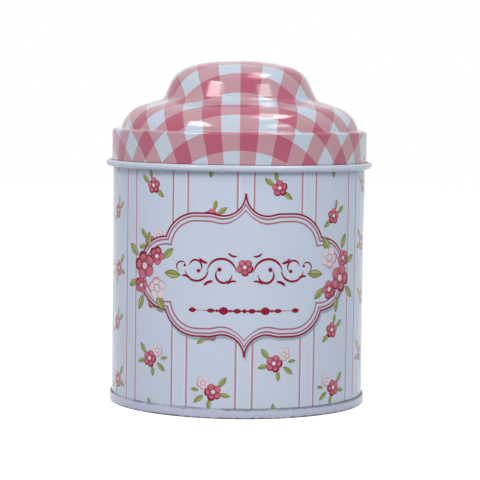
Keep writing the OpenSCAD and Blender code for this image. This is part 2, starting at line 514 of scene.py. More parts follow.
def build_inner_lid(can, lids, materials):
    """Folded hem, flange, plug, panel and raised grip, pressed from one disc."""
    low = flange_height(can, lids)
    fold = can.sheet + lids.hem_gap / 2
    flange = skirt_radius(can, lids) - can.sheet - lids.flange_clearance
    top = low + 2 * fold
    plug = can.wall_diameter / 2 - can.rim_curl - lids.plug_clearance - can.sheet
    panel = low - lids.plug_depth + can.sheet
    grip = lids.grip_diameter / 2
    bm = bmesh.new()
    line = SheetLine(bm, flange - lids.hem_width, low)
    line.straight(flange - fold, low)
    line.turn(flange - fold, low + fold, 180)
    line.pressed(
        (flange - fold, top, 0),
        (plug, top, lids.flange_bend),
        (plug - lids.plug_draft, panel, lids.press_bend - can.sheet),
        (grip, panel, lids.press_bend),
        (grip - lids.grip_draft, panel + lids.grip_height, lids.press_bend),
        (0, panel + lids.grip_height, 0),
    )
    face_verts = formed_sheet(bm, line, can.sheet)
    give_sides(bm, face_verts, 0, 0, 0)
    map_disc(bm)
    piece = finished(bm, "press_lid", materials)
    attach(piece, "inner_lid")
    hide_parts("inner_lid")


def build_dome_lid(can, lids, materials):
    """Curl, skirt, ledge, lower dome, neck, upper dome and crown, drawn from one disc."""
    skirt = skirt_radius(can, lids)
    curl = lids.skirt_curl / 2
    ledge = ledge_level(can, lids)
    foot = ledge - lids.skirt_height
    side = skirt - lids.ledge_width
    neck = lids.neck_diameter / 2
    crown = ledge + lids.dome_height
    bm = bmesh.new()
    x, z = skirt - can.sheet + curl, foot + curl
    reach = curl - can.sheet
    line = SheetLine(bm, x + reach * cos(CURL_START), z + reach * sin(CURL_START))
    line.turn(x, z, CURL_SWEEP)
    line.straight(skirt, foot + lids.skirt_curl)
    line.pressed(
        (skirt, foot + lids.skirt_curl, 0),
        (skirt, ledge, lids.skirt_edge),
        (side, ledge, lids.foot_hollow),
        (side - lids.lower_inset, ledge + lids.lower_height, lids.lower_shoulder),
        (neck, ledge + lids.neck_height, lids.neck_hollow),
        (neck - lids.upper_inset, crown - lids.crown_drop, lids.upper_shoulder),
        (lids.crown_flat, crown, lids.crown_bend),
        (0, crown, 0),
    )
    face_verts = formed_sheet(bm, line, can.sheet)
    give_sides(bm, face_verts, 0, 1, 1)
    map_disc(bm)
    piece = finished(bm, "domed_lid", materials)
    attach(piece, "dome_lid")
    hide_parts("dome_lid")


# ---------------------------------------------------------------- node trees


class Field:
    """A value, vector or colour that varies over the surface, with the sums done on it."""

    def __init__(self, graph, socket):
        self.graph = graph
        self.socket = socket

    def __add__(self, other):
        return self.graph.math("ADD", self, other)

    def __sub__(self, other):
        return self.graph.math("SUBTRACT", self, other)

    def __rsub__(self, other):
        return self.graph.math("SUBTRACT", other, self)

    def __mul__(self, other):
        return self.graph.math("MULTIPLY", self, other)

    def __abs__(self):
        return self.graph.math("ABSOLUTE", self)

    __radd__ = __add__
    __rmul__ = __mul__


# Layout of the nodes in the editor, and the softness of a printed edge in millimetres.
NODE_STEP = 180
NODE_ROWS = 8
SOFT_EDGE = 0.05


class Graph:
    """Adds nodes to a tree in the order in which they are worked out."""

    def __init__(self, tree):
        self.tree = tree
        self.count = 0

    def node(self, kind, **settings):
        node = self.tree.nodes.new(kind)
        for name, value in settings.items():
            setattr(node, name, value)
        column, row = divmod(self.count, NODE_ROWS)
        node.location = (NODE_STEP * column, -NODE_STEP * row)
        self.count += 1
        return node

    def feed(self, socket, value):
        """Joins a field to a socket, or sets the socket to a number, vector or colour."""
        if isinstance(value, Field):
            self.tree.links.new(value.socket, socket)
        elif socket.type == "RGBA":
            socket.default_value = (*value[:3], 1)
        elif socket.type == "VECTOR":
            socket.default_value = (*value, 0, 0)[:3]
        else:
            socket.default_value = value

    def made(self, kind, output, values, **settings):
        """An output of a new node, its inputs fed in their order or by name or number."""
        node = self.node(kind, **settings)
        pairs = values.items() if isinstance(values, dict) else enumerate(values)
        for key, value in pairs:
            self.feed(node.inputs[key], value)
        return Field(self, node.outputs[output])

    def math(self, operation, *values):
        return self.made("ShaderNodeMath", 0, values, operation=operation)

    def most(self, first, second):
        return self.math("MAXIMUM", first, second)

    def vector(self, operation, *values):
        return self.made("ShaderNodeVectorMath", "Vector", values, operation=operation)

    def scaled(self, value, factor):
        values = {0: value, "Scale": factor}
        return self.made("ShaderNodeVectorMath", "Vector", values, operation="SCALE")

    def dot(self, *vectors):
        return self.made("ShaderNodeVectorMath", "Value", vectors, operation="DOT_PRODUCT")

    def distance(self, first, second=(0, 0, 0)):
        pair = (first, second)
        return self.made("ShaderNodeVectorMath", "Value", pair, operation="DISTANCE")

    def joined(self, *values):
        return self.made("ShaderNodeCombineXYZ", 0, values)

    def parts(self, value):
        node = self.node("ShaderNodeSeparateXYZ")
        self.feed(node.inputs[0], value)
        return [Field(self, socket) for socket in node.outputs]

    def rise(self, value, low, high):
        """0 up to low and 1 from high, with a smooth step between."""
        values = {"Value": value, "From Min": low, "From Max": high}
        settings = {"interpolation_type": "SMOOTHSTEP", "clamp": True}
        return self.made("ShaderNodeMapRange", "Result", values, **settings)

    def fall(self, value, low, high):
        """1 up to low and 0 from high, with a smooth step between."""
        return 1 - self.rise(value, low, high)

    def within(self, value, edge):
        """1 where the value is under the edge and 0 over it, as soft as a printed line."""
        return self.fall(value, edge - SOFT_EDGE, edge + SOFT_EDGE)

    def between(self, value, low, high):
        """The value spread from 0..1 to low..high."""
        return value * (high - low) + low

    def mix(self, factor, first, second):
        """The first colour where the factor is 0 and the second where it is 1."""
        values = {0: factor, 6: first, 7: second}
        return self.made("ShaderNodeMix", 2, values, data_type="RGBA", clamp_factor=True)

    def noise(self, place, scale, detail=2.0, roughness=0.5):
        """Soft noise from 0 to 1, with so many cells to a unit of the place."""
        values = {"Vector": place, "Scale": scale, "Detail": detail, "Roughness": roughness}
        return self.made("ShaderNodeTexNoise", "Fac", values)

    def stretched(self, place, scales, detail, roughness):
        """Noise with a scale of its own along each axis, for lines."""
        return self.noise(self.vector("MULTIPLY", place, scales), 1.0, detail, roughness)

    def group(self, tree, **values):
        """The outputs of a node group by their names."""
        node = self.node("ShaderNodeGroup", node_tree=tree)
        for name, value in values.items():
            self.feed(node.inputs[name], value)
        return {socket.name: Field(self, socket) for socket in node.outputs}

    def sheet_place(self):
        """The place on the flat sheet, in metres."""
        return self.made("ShaderNodeUVMap", "UV", {}, uv_map="sheet")

    def object_place(self):
        return self.made("ShaderNodeTexCoord", "Object", {})

    def height(self):
        """Millimetres above the table."""
        _, _, height = self.parts(self.object_place())
        return height * (1 / MM)


FLOAT = "NodeSocketFloat"
VECTOR = "NodeSocketVector"
COLOUR = "NodeSocketColor"


def new_group(name, inputs, outputs):
    """A node group: its graph, the fields it is given and the node that takes its results."""
    tree = bpy.data.node_groups.new(name, "ShaderNodeTree")
    for socket, kind in inputs.items():
        tree.interface.new_socket(socket, in_out="INPUT", socket_type=kind)
    for socket, kind in outputs.items():
        tree.interface.new_socket(socket, in_out="OUTPUT", socket_type=kind)
    graph = Graph(tree)
    start = graph.node("NodeGroupInput")
    end = graph.node("NodeGroupOutput")
    given = {socket: Field(graph, start.outputs[socket]) for socket in inputs}
    return graph, given, end


def give_out(graph, end, **results):
    for name, value in results.items():
        graph.feed(end.inputs[name], value)
    return graph.tree


def new_material(name):
    """A material with a Principled shader: its graph and the shader's inputs."""
    material = bpy.data.materials.new(name)
    material.use_nodes = True
    graph = Graph(material.node_tree)
    return material, graph, material.node_tree.nodes["Principled BSDF"].inputs


RELIEF = 0.03 * MM


def surface(graph, inputs, base, roughness, height, relief=RELIEF):
    """Feeds the colour, roughness and bump of a material; a height of 1 is the relief."""
    graph.feed(inputs["Base Color"], base)
    graph.feed(inputs["Roughness"], roughness)
    bump = graph.node("ShaderNodeBump")
    bump.inputs["Strength"].default_value = 1.0
    bump.inputs["Distance"].default_value = relief
    graph.feed(bump.inputs["Height"], height)
    graph.feed(inputs["Normal"], Field(graph, bump.outputs["Normal"]))


def mixed(first, second, share):
    """A colour part of the way from the first to the second."""
    return tuple(a + (b - a) * share for a, b in zip(first, second))


# ---------------------------------------------------------------- print


class CaddyPrint(bpy.types.PropertyGroup):
    """Inks and sizes of the print on the wall and the dome lid."""

    ground: colour("Ground", "Colour of the wall under its print", 208, 216, 233)
    stripe: colour("Stripe", "Colour of the thin upright stripes", 190, 129, 144)
    crimson: colour("Crimson", "Darkest ink, of the frame and the outlines", 140, 2, 46)
    pink: colour("Pink", "Colour of the frame's inner lines", 172, 100, 120)
    petal: colour("Petal", "Colour of the petals", 206, 112, 132)
    petal_light: colour("Pale petal", "Colour of the pale petals and the eyes", 226, 214, 224)
    leaf: colour("Leaf", "Light colour of the leaves", 172, 180, 108)
    leaf_dark: colour("Leaf vein", "Dark colour of the leaves", 108, 104, 48)
    check_light: colour("Check light", "Lightest colour of the lid's check", 199, 208, 222)
    check_middle: colour("Check middle", "Colour where one band prints", 197, 151, 160)
    check_dark: colour("Check dark", "Colour where two bands cross", 188, 93, 119)
    stripe_period: length("Stripe period", "Distance between pairs of stripes", 21.85)
    stripe_spread: length("Stripe spread", "Distance from a pair's middle to its stripes", 2.7)
    stripe_width: length("Stripe width", "Width of a stripe", 0.57)
    label_height: length("Label height", "Height of the label's middle above the table", 46.7)
    sprig_pitch: length("Sprig pitch", "Height between one sprig and the next", 18.85)
    check: length("Check", "Width of a band of the lid's check on the flat sheet", 7.4)


VEIN_WIDTH = 0.1
PETALS = 5
LOBE_DEPTH = 0.3
PETAL_GAP = (0.08, 0.26)
RING_REACH = 0.31
EYE_PLACE = (-0.04, 0.06)
OUTLINE_SHADE = (0.12, -0.14)


def printed_leaf(ink):
    """A lens-shaped leaf with a vein. It reaches from -1 to 1 along and across."""
    graph, given, end = new_group(
        "Printed leaf",
        {"Colour": COLOUR, "Point": VECTOR, "At": VECTOR, "Along": VECTOR, "Across": VECTOR},
        {"Colour": COLOUR},
    )
    spot = graph.vector("SUBTRACT", given["Point"], given["At"])
    far = graph.dot(spot, given["Along"])
    aside = graph.dot(spot, given["Across"])
    depth = 1 - far * far - abs(aside)
    shaded = mixed(ink.leaf, ink.leaf_dark, 0.4)
    half = graph.mix(graph.rise(aside, -VEIN_WIDTH, VEIN_WIDTH), ink.leaf, shaded)
    flesh = graph.rise(depth, 0.16, 0.34) * graph.rise(abs(aside), 0.04, 0.16)
    painted = graph.mix(flesh, ink.leaf_dark, half)
    body = graph.rise(depth, 0.0, 0.08)
    return give_out(graph, end, Colour=graph.mix(body, given["Colour"], painted))


def printed_blossom(ink):
    """A five-petalled blossom with crimson outlines and a pale eye. Its radius is 1, and its
    outline is heavier on the side away from the light."""
    graph, given, end = new_group(
        "Printed blossom",
        {
            "Colour": COLOUR,
            "Point": VECTOR,
            "At": VECTOR,
            "Size": FLOAT,
            "Turn": FLOAT,
            "Pale": FLOAT,
        },
        {"Colour": COLOUR},
    )
    spot = graph.scaled(graph.vector("SUBTRACT", given["Point"], given["At"]), given["Size"])
    x, y, _ = graph.parts(spot)
    reach = graph.distance(spot)
    angle = graph.math("ARCTAN2", y, x) + given["Turn"]
    lobe = abs(graph.math("COSINE", angle * (PETALS / 2)))
    depth = graph.math("SQRT", lobe) * LOBE_DEPTH + (1 - LOBE_DEPTH) - reach
    petal = graph.mix(given["Pale"], ink.petal, ink.petal_light)
    blush = graph.rise(reach, 0.2, 0.62) * lobe
    core = graph.mix(given["Pale"], mixed(ink.petal, ink.crimson, 0.55), ink.petal_light)
    painted = graph.mix(blush, core, petal)
    outline = graph.most(graph.dot(spot, OUTLINE_SHADE) + 0.15, 0.05)
    gap = graph.fall(lobe, *PETAL_GAP) * graph.rise(reach, 0.3, 0.42)
    edge = graph.most(graph.fall(depth - outline, -0.03, 0.05), gap)
    edge_ink = graph.mix(given["Pale"], ink.crimson, mixed(ink.petal, ink.petal_light, 0.3))
    painted = graph.mix(edge, painted, edge_ink)
    stamens = graph.rise(graph.math("SINE", angle * (2 * PETALS)), -0.3, 0.3)
    ring = graph.fall(abs(reach - RING_REACH), 0.04, 0.1)
    painted = graph.mix(ring * stamens, painted, ink.crimson)
    eye = graph.fall(graph.distance(spot, EYE_PLACE), 0.18, 0.26)
    painted = graph.mix(eye, painted, ink.petal_light)
    body = graph.rise(depth, 0.0, 0.06)
    return give_out(graph, end, Colour=graph.mix(body, given["Colour"], painted))


def printed_stroke(ink):
    """A crimson pen stroke: part of a circle that tapers to nothing at both ends."""
    graph, given, end = new_group(
        "Printed stroke",
        {
            "Colour": COLOUR,
            "Point": VECTOR,
            "Centre": VECTOR,
            "Radius": FLOAT,
            "Towards": VECTOR,
            "End cosine": FLOAT,
            "Half width": FLOAT,
        },
        {"Colour": COLOUR},
    )
    spot = graph.vector("SUBTRACT", given["Point"], given["Centre"])
    reach = graph.distance(spot)
    facing = graph.dot(graph.vector("NORMALIZE", spot), given["Towards"])
    taper = graph.rise(facing, given["End cosine"], 1.0)
    width = graph.math("SQRT", taper) * given["Half width"]
    off = abs(reach - given["Radius"])
    body = graph.within(off - width, 0.0) * graph.rise(taper, 0.0, 0.02)
    return give_out(graph, end, Colour=graph.mix(body, given["Colour"], ink.crimson))


LABEL_SCOOP = (7.2, 26.4)
LABEL_SCOOP_RADIUS = 7.35
LABEL_GATHER = 0.46
LABEL_SHOULDER = (15.9, 8.07)
LABEL_SHOULDER_RADIUS = 11.68
LABEL_END = (26.9, 0)
LABEL_END_RADIUS = 11.7
LABEL_TIP = 26.05
LABEL_CORNER = 1.0


def label_depth():
    """Millimetres in from the bracket-shaped edge of the label, which is centred on 0, 0. Two
    hollow scoops meet in each tip, where the lines gather, and run into shoulder and end."""
    graph, given, end = new_group("Label depth", {"Point": VECTOR}, {"Depth": FLOAT})
    point = graph.vector("ABSOLUTE", given["Point"])
    x, y, _ = graph.parts(point)
    scoop = graph.distance(point, LABEL_SCOOP) - LABEL_SCOOP_RADIUS
    gather = graph.fall(x, 0.0, LABEL_SCOOP[0]) * LABEL_GATHER + 1
    scoop = graph.most(scoop, scoop * gather)
    beyond = graph.joined(graph.most(x, LABEL_SHOULDER[0]), y)
    shoulder = LABEL_SHOULDER_RADIUS - graph.distance(beyond, LABEL_SHOULDER)
    bulge = LABEL_END_RADIUS - graph.distance(point, LABEL_END)
    body = graph.most(graph.most(LABEL_SCOOP[0] - x, shoulder), bulge)
    joined = graph.math("SMOOTH_MIN", scoop, body, LABEL_CORNER)
    return give_out(graph, end, Depth=graph.math("MINIMUM", joined, LABEL_TIP - y))


def leaf_at(graph, tree, colour_so_far, point, leaf):
    """Prints one leaf, given as x, y, its turn in degrees, its length and its width."""
    x, y, turned, long, wide = leaf
    way = (cos(radians(turned)), sin(radians(turned)))
    return graph.group(
        tree,
        Colour=colour_so_far,
        Point=point,
        At=(x, y),
        Along=(way[0] * 2 / long, way[1] * 2 / long),
        Across=(-way[1] * 2 / wide, way[0] * 2 / wide),
    )["Colour"]


def blossom_at(graph, tree, colour_so_far, point, blossom):
    """Prints one blossom, given as x, y, its radius, its turn in degrees and how pale it is."""
    x, y, radius, turned, pale = blossom
    return graph.group(
        tree,
        Colour=colour_so_far,
        Point=point,
        At=(x, y),
        Size=1 / radius,
        Turn=radians(turned),
        Pale=pale,
    )["Colour"]


def stroke_at(graph, tree, colour_so_far, point, stroke):
    """Prints one stroke, given as its circle's x, y and radius, where its middle faces, how far
    it runs to each side of that in degrees, and its width."""
    x, y, radius, facing, half, wide = stroke
    values = {
        "Colour": colour_so_far,
        "Point": point,
        "Centre": (x, y),
        "Radius": radius,
        "Towards": (cos(radians(facing)), sin(radians(facing))),
        "End cosine": cos(radians(half)),
        "Half width": wide / 2,
    }
    return graph.group(tree, **values)["Colour"]


TWIN_SPRIG = {
    "leaves": [
        (-4.0, -6.6, 128, 4.6, 1.9),
        (-4.7, -10.8, 192, 4.0, 1.7),
        (3.9, -12.2, -38, 4.4, 1.8),
        (0.4, -13.9, -84, 3.8, 1.6),
        (5.2, -9.2, 8, 3.0, 1.3),
    ],
    "blossoms": [(2.4, -6.9, 2.4, 20, 1.0), (-0.9, -9.9, 3.0, 0, 0.0)],
}
SINGLE_SPRIG = {
    "leaves": [
        (-3.3, 11.4, 142, 4.2, 1.8),
        (-1.0, 13.2, 100, 3.6, 1.5),
        (3.0, 7.0, -38, 4.2, 1.8),
    ],
    "blossoms": [(0.2, 9.4, 2.8, 50, 0.0)],
}
BOUQUET = {
    "leaves": [
        (-4.6, 9.6, 118, 6.6, 3.0),
        (4.2, 10.4, 66, 5.8, 2.6),
        (8.6, 4.4, 22, 5.2, 2.4),
        (-9.4, 0.2, 176, 6.4, 2.9),
        (-7.6, -6.4, 222, 5.6, 2.5),
        (8.0, -6.8, -40, 6.2, 2.8),
        (0.6, -10.6, -96, 5.4, 2.4),
    ],
    "blossoms": [
        (-3.2, 5.2, 3.9, 10, 1.0),
        (4.2, 4.6, 3.1, 28, 0.0),
        (-2.9, -5.4, 3.3, 40, 0.0),
        (2.6, -2.0, 4.9, 75, 0.0),
    ],
}
BOUQUET_PLACE = 34.0
SCROLL_BLOSSOM = (0.0, 2.6, 2.9, 18, 0.0)
SCROLLS = [
    (7.6, 0.6, 4.8, 92, 88, 0.8),
    (6.9, 0.2, 2.6, -74, 118, 0.8),
    (16.0, 2.0, 4.0, -92, 88, 0.75),
    (16.3, 2.7, 2.1, 112, 118, 0.68),
    (21.3, 2.4, 1.7, 48, 112, 0.55),
    (12.4, 7.0, 3.0, -62, 34, 0.95),
    (10.6, -5.4, 3.4, 64, 32, 0.95),
    (20.2, -3.4, 3.0, 104, 32, 0.8),
    (3.6, -4.4, 2.6, 74, 40, 0.7),
    (3.4, 8.6, 2.4, -70, 42, 0.7),
]
SCROLL_DOTS = ((8.3, 1.9, 0.72), (15.3, 1.3, 0.62), (20.1, 2.9, 0.46), (12.3, 0.7, 0.3))
DIVIDER_HEIGHT = -11.5
DIVIDER_REACH = 15.8
DIVIDER_THICK_TO = 4.0
DIVIDER_THIN = 0.04
DIVIDER_SWELL = 0.2
DIVIDER_DOTS = ((0.0, 0.7), (4.6, 0.46), (9.0, 0.5))
DIVIDER_LENSES = ((2.4, 1.5, 0.85), (6.8, 1.9, 1.35), (11.0, 1.6, 0.75), (17.2, 1.5, 0.85))


def add_sprigs(graph, ink, trees, ground, point):
    """Sprigs in columns between the pairs of stripes, every other column dropped by half."""
    period = ink.stripe_period / MM
    pitch = ink.sprig_pitch / MM
    x, y, _ = graph.parts(point)
    column = graph.math("FLOOR", x * (1 / period))
    odd = graph.math("FLOORED_MODULO", column, 2.0)
    local_x = (x - (column + 0.5) * period) * (1 - odd * 2)
    local_y = graph.math("FLOORED_MODULO", y + odd * (pitch / 2), 2 * pitch) - pitch
    spot = graph.joined(local_x, local_y)
    painted = ground
    for sprig in (TWIN_SPRIG, SINGLE_SPRIG):
        painted = add_posy(graph, trees, painted, spot, sprig)
    return painted


def add_posy(graph, trees, painted, spot, posy):
    for leaf in posy["leaves"]:
        painted = leaf_at(graph, trees["leaf"], painted, spot, leaf)
    for blossom in posy["blossoms"]:
        painted = blossom_at(graph, trees["blossom"], painted, spot, blossom)
    return painted


PALE_LINE = (0.86, 0.88, 0.93)
PALE_LINE_PLACE = 0.62
PALE_LINE_EDGE = (0.1, 0.3)
PALE_LINE_STRENGTH = 0.35


def add_stripes(graph, ink, ground, point):
    """Pairs of thin stripes with a pale line beside each."""
    period = ink.stripe_period / MM
    x, _, _ = graph.parts(point)
    from_pair = abs(graph.math("FLOORED_MODULO", x + period / 2, period) - period / 2)
    from_line = from_pair - ink.stripe_spread / MM
    half = ink.stripe_width / MM / 2
    pale = graph.fall(abs(from_line + PALE_LINE_PLACE), *PALE_LINE_EDGE)
    painted = graph.mix(pale * PALE_LINE_STRENGTH, ground, PALE_LINE)
    return graph.mix(graph.within(abs(from_line), half), painted, ink.stripe)


LABEL_SHADOW = (0.2, 0.25, 0.3)
LABEL_SHADOW_STRENGTH = 0.7
LABEL_SHADOW_SHIFT = (0.4, -1.0)
LABEL_SHADOW_FADE = (-0.9, 0.1)
LABEL_EDGE = (-0.5, -0.4)
LABEL_LINES = ((-0.22, 0.3, "crimson"), (0.78, 0.3, "pink"), (2.25, 0.27, "pink"))


def add_label(graph, ink, trees, painted, ground, point):
    """The label's clear ground, its soft shadow and its three bracket-shaped lines."""
    shifted = graph.vector("SUBTRACT", point, LABEL_SHADOW_SHIFT)
    shade = graph.rise(graph.group(trees["depth"], Point=shifted)["Depth"], *LABEL_SHADOW_FADE)
    painted = graph.mix(shade * LABEL_SHADOW_STRENGTH, painted, LABEL_SHADOW)
    depth = graph.group(trees["depth"], Point=point)["Depth"]
    painted = graph.mix(graph.rise(depth, *LABEL_EDGE), painted, ground)
    for place, half, tone in LABEL_LINES:
        line = graph.within(abs(depth - place), half)
        painted = graph.mix(line, painted, getattr(ink, tone))
    return painted


def add_bouquets(graph, trees, painted, point):
    """A bouquet over each end of the label; the left one is the right one turned half round."""
    x, y, _ = graph.parts(point)
    side = graph.math("SIGN", x)
    spot = graph.joined(abs(x) - BOUQUET_PLACE, y * side)
    return add_posy(graph, trees, painted, spot, BOUQUET)


def add_scrolls(graph, ink, trees, painted, point):
    """A blossom between pen scrolls in the label's middle, and a divider below them."""
    x, y, _ = graph.parts(point)
    beside = abs(x)
    spot = graph.joined(beside, y)
    for stroke in SCROLLS:
        painted = stroke_at(graph, trees["stroke"], painted, spot, stroke)
    painted = blossom_at(graph, trees["blossom"], painted, point, SCROLL_BLOSSOM)
    drop = abs(y - DIVIDER_HEIGHT)
    taper = graph.fall(beside, DIVIDER_THICK_TO, DIVIDER_REACH) * DIVIDER_SWELL + DIVIDER_THIN
    mark = graph.fall(drop - taper, 0.0, 0.08)
    mark = mark * graph.fall(beside, DIVIDER_REACH, DIVIDER_REACH + 0.2)
    for place, size in DIVIDER_DOTS:
        off = graph.distance(graph.joined(beside - place, drop))
        mark = graph.most(mark, graph.within(off, size))
    for place, long, wide in DIVIDER_LENSES:
        far = (beside - place) * (1 / long)
        depth = 1 - far * far - drop * (1 / wide)
        mark = graph.most(mark, graph.rise(depth, 0.0, 0.1))
    for place, height, size in SCROLL_DOTS:
        mark = graph.most(mark, graph.within(graph.distance(spot, (place, height)), size))
    return graph.mix(mark, painted, ink.crimson)


# ---------------------------------------------------------------- finishes


# Noises: cells to a metre, detail and roughness.
SMEAR = (38.0, 3.0, 0.6)
SPECK = (900.0, 2.0, 0.5)
RIPPLE = (14.0, 1.0, 0.4)
PEEL = (1500.0, 1.0, 0.5)
RAGGED = (600.0, 3.0, 0.7)
PATCHES = (70.0, 2.0, 0.6)
PEEL_HEIGHT = 0.02


def varnish_group():
    """How a varnished print wears: a roughness and a height, both varying over the surface."""
    graph, given, end = new_group(
        "Varnish",
        {"Place": VECTOR, "Smooth": FLOAT, "Rubbed": FLOAT},
        {"Roughness": FLOAT, "Height": FLOAT},
    )
    place = given["Place"]
    smear = graph.noise(place, *SMEAR) * 0.75 + graph.noise(place, *SPECK) * 0.25
    wear = graph.rise(smear, 0.35, 0.7)
    spread = given["Rubbed"] - given["Smooth"]
    roughness = wear * spread + given["Smooth"]
    height = graph.noise(place, *RIPPLE) + graph.noise(place, *PEEL) * PEEL_HEIGHT
    return give_out(graph, end, Roughness=roughness, Height=height)


def varnished(graph, smooth, rubbed):
    """The roughness and height of varnish, from its smoothest to where it is rubbed."""
    tree = bpy.data.node_groups.get("Varnish") or varnish_group()
    given = graph.group(tree, Place=graph.object_place(), Smooth=smooth, Rubbed=rubbed)
    return given["Roughness"], given["Height"]


def grime_and_shade_group():
    """Where grime, wear and painted shade gather along an edge or in a hollow: a mask that is
    ragged at its border and stronger in patches. Distances are in millimetres."""
    graph, given, end = new_group(
        "Edge grime and shade",
        {"Place": VECTOR, "Distance": FLOAT, "Ragged": FLOAT, "Even": FLOAT, "Patchy": FLOAT},
        {"Mask": FLOAT},
    )
    border = graph.noise(given["Place"], *RAGGED) * given["Ragged"]
    near = graph.fall(given["Distance"] - border, -0.1, 0.05)
    patches = graph.rise(graph.noise(given["Place"], *PATCHES), 0.42, 0.54)
    return give_out(graph, end, Mask=near * (patches * given["Patchy"] + given["Even"]))


def grimed_and_shaded(graph, distance, ragged, even, patchy):
    """The mask of grime and painted shade along an edge, from the distance to it in millimetres.
    """
    tree = bpy.data.node_groups.get("Edge grime and shade") or grime_and_shade_group()
    values = {"Distance": distance, "Ragged": ragged, "Even": even, "Patchy": patchy}
    return graph.group(tree, Place=graph.object_place(), **values)["Mask"]


# Finishes: roughness where smooth and where rubbed. Grimes, partly painted shade: raggedness
# in millimetres, and the even and the patchy part of the strength.
WALL_FINISH = (0.16, 0.26)
WALL_GRIME_AND_SHADE = (0.54, 0.22, 0.4)
WALL_GRIME_AND_SHADE_TONE = (0.075, 0.095, 0.09)
WALL_CLOUD = (0.06, 2.0)
WALL_CLOUD_TONE = (0.55, 0.55, 0.66)


def printed_wall(ink, trees, foot_height):
    """White-lined stripes, sprigs, the label and its bouquets on the wall's outside, with
    grime in patches and painted shade along its foot, where it meets the base seam."""
    material, graph, inputs = new_material("Printed wall")
    millimetres = graph.scaled(graph.sheet_place(), 1 / MM)
    point = graph.vector("SUBTRACT", millimetres, (0, ink.label_height / MM))
    cloud = graph.noise(point, *WALL_CLOUD)
    ground = graph.mix(cloud, mixed(ink.ground, WALL_CLOUD_TONE, 0.25), ink.ground)
    painted = add_stripes(graph, ink, ground, point)
    painted = add_sprigs(graph, ink, trees, painted, point)
    painted = add_label(graph, ink, trees, painted, ground, point)
    painted = add_bouquets(graph, trees, painted, point)
    painted = add_scrolls(graph, ink, trees, painted, point)
    # Grime in patches, and painted shade in the hollow where the wall meets the base seam.
    foot = grimed_and_shaded(graph, graph.height() - foot_height / MM, *WALL_GRIME_AND_SHADE)
    painted = graph.mix(foot, painted, WALL_GRIME_AND_SHADE_TONE)
    surface(graph, inputs, painted, *varnished(graph, *WALL_FINISH))
    inputs["IOR"].default_value = 1.45
    inputs["Specular IOR Level"].default_value = 0.25
    return material


CHECK_TURN = radians(-3.0)
CHECK_EDGE = (-0.03, 0.03)
CHECK_SHADE = (0.2, 0.02, 0.05)
THREAD_PITCH = 0.84
THREAD_EDGE = (-0.8, 0.8)
THREAD_TONES = (0.72, 1.0)
LID_FINISH = (0.1, 0.18)
LID_GROOVE_SHADE = (0.55, 0.52, 0.1)
LID_GROOVE_SHADE_TONE = (0.1, 0.05, 0.07)
DRAW_LINES = (1.0, 3.0, 0.55)
DRAW_LINE_PITCH = 0.75
DRAW_LINE_SWIRL = (0.02, 0.013)
DRAW_LINE_HEIGHT = 0.9


def printed_lid(ink, foot_height):
    """A woven check in three tones, printed on the flat disc and drawn out with it, and the
    fine lines that the drawing leaves."""
    material, graph, inputs = new_material("Printed lid")
    millimetres = graph.scaled(graph.sheet_place(), 1 / MM)
    across = graph.dot(millimetres, (cos(CHECK_TURN), sin(CHECK_TURN)))
    down = graph.dot(millimetres, (-sin(CHECK_TURN), cos(CHECK_TURN)))
    waves = pi / (ink.check / MM)
    warp = graph.rise(graph.math("SINE", across * waves), *CHECK_EDGE)
    weft = graph.rise(graph.math("SINE", down * waves), *CHECK_EDGE)
    thread = graph.math("SINE", down * (2 * pi / THREAD_PITCH))
    weave = graph.between(graph.rise(thread, *THREAD_EDGE), *THREAD_TONES)
    middle = graph.mix(weave, mixed(ink.check_middle, ink.check_dark, 0.5), ink.check_middle)
    crossed = graph.mix(weave, mixed(ink.check_dark, CHECK_SHADE, 0.35), ink.check_dark)
    painted = graph.mix(graph.most(warp, weft), ink.check_light, middle)
    painted = graph.mix(warp * weft, painted, crossed)
    # Painted shade: a dark line in the groove where the skirt meets the curl.
    foot = grimed_and_shaded(graph, graph.height() - foot_height / MM, *LID_GROOVE_SHADE)
    painted = graph.mix(foot, painted, mixed(ink.crimson, LID_GROOVE_SHADE_TONE, 0.5))
    rings = graph.distance(millimetres) * DRAW_LINE_PITCH
    swirl = graph.dot(millimetres, DRAW_LINE_SWIRL)
    drawn = graph.noise(graph.joined(rings, swirl), *DRAW_LINES)
    roughness, height = varnished(graph, *LID_FINISH)
    surface(graph, inputs, painted, roughness, height + drawn * DRAW_LINE_HEIGHT)
    inputs["IOR"].default_value = 1.5
    return material


class CaddyMetal(bpy.types.PropertyGroup):
    """Finishes of the unprinted faces."""

    enamel: colour("Enamel", "White coat of the base and of the lid's reverse", 203, 210, 225)
    base_enamel: colour("Base enamel", "White coat of the base, a little lilac", 198, 199, 222)
    # Also the colour of the painted shade at the seam's top and along its lower edge.
    steel_and_shade: colour("Worn steel", "Bare metal where the base's edge has worn", 96, 96, 104)
    tin: colour("Tin", "Bare tinplate", 222, 223, 225)


# Lines: cells to a metre along each axis, detail and roughness.
ENAMEL_FINISH = (0.22, 0.34)
ENAMEL_LINES = ((60, 60, 1400), 3.0, 0.6)
ENAMEL_LINE_TONE = (0.4, 0.4, 0.5)
SEAM_STREAKS = ((50, 50, 1800), 3.0, 0.7)
SEAM_SPECKS = (700.0, 3.0, 0.7)
SEAM_SCUFF = 0.4
SEAM_CREASE_GRIME_AND_SHADE = (0.9, 0.25, 0.5)
SEAM_CHIPS_AND_CONTACT_SHADE = (1.3, 1.0, 0.0)
SEAM_CHIP_AND_SHADE_HEIGHT = 0.15
SEAM_BULGE = 6.0


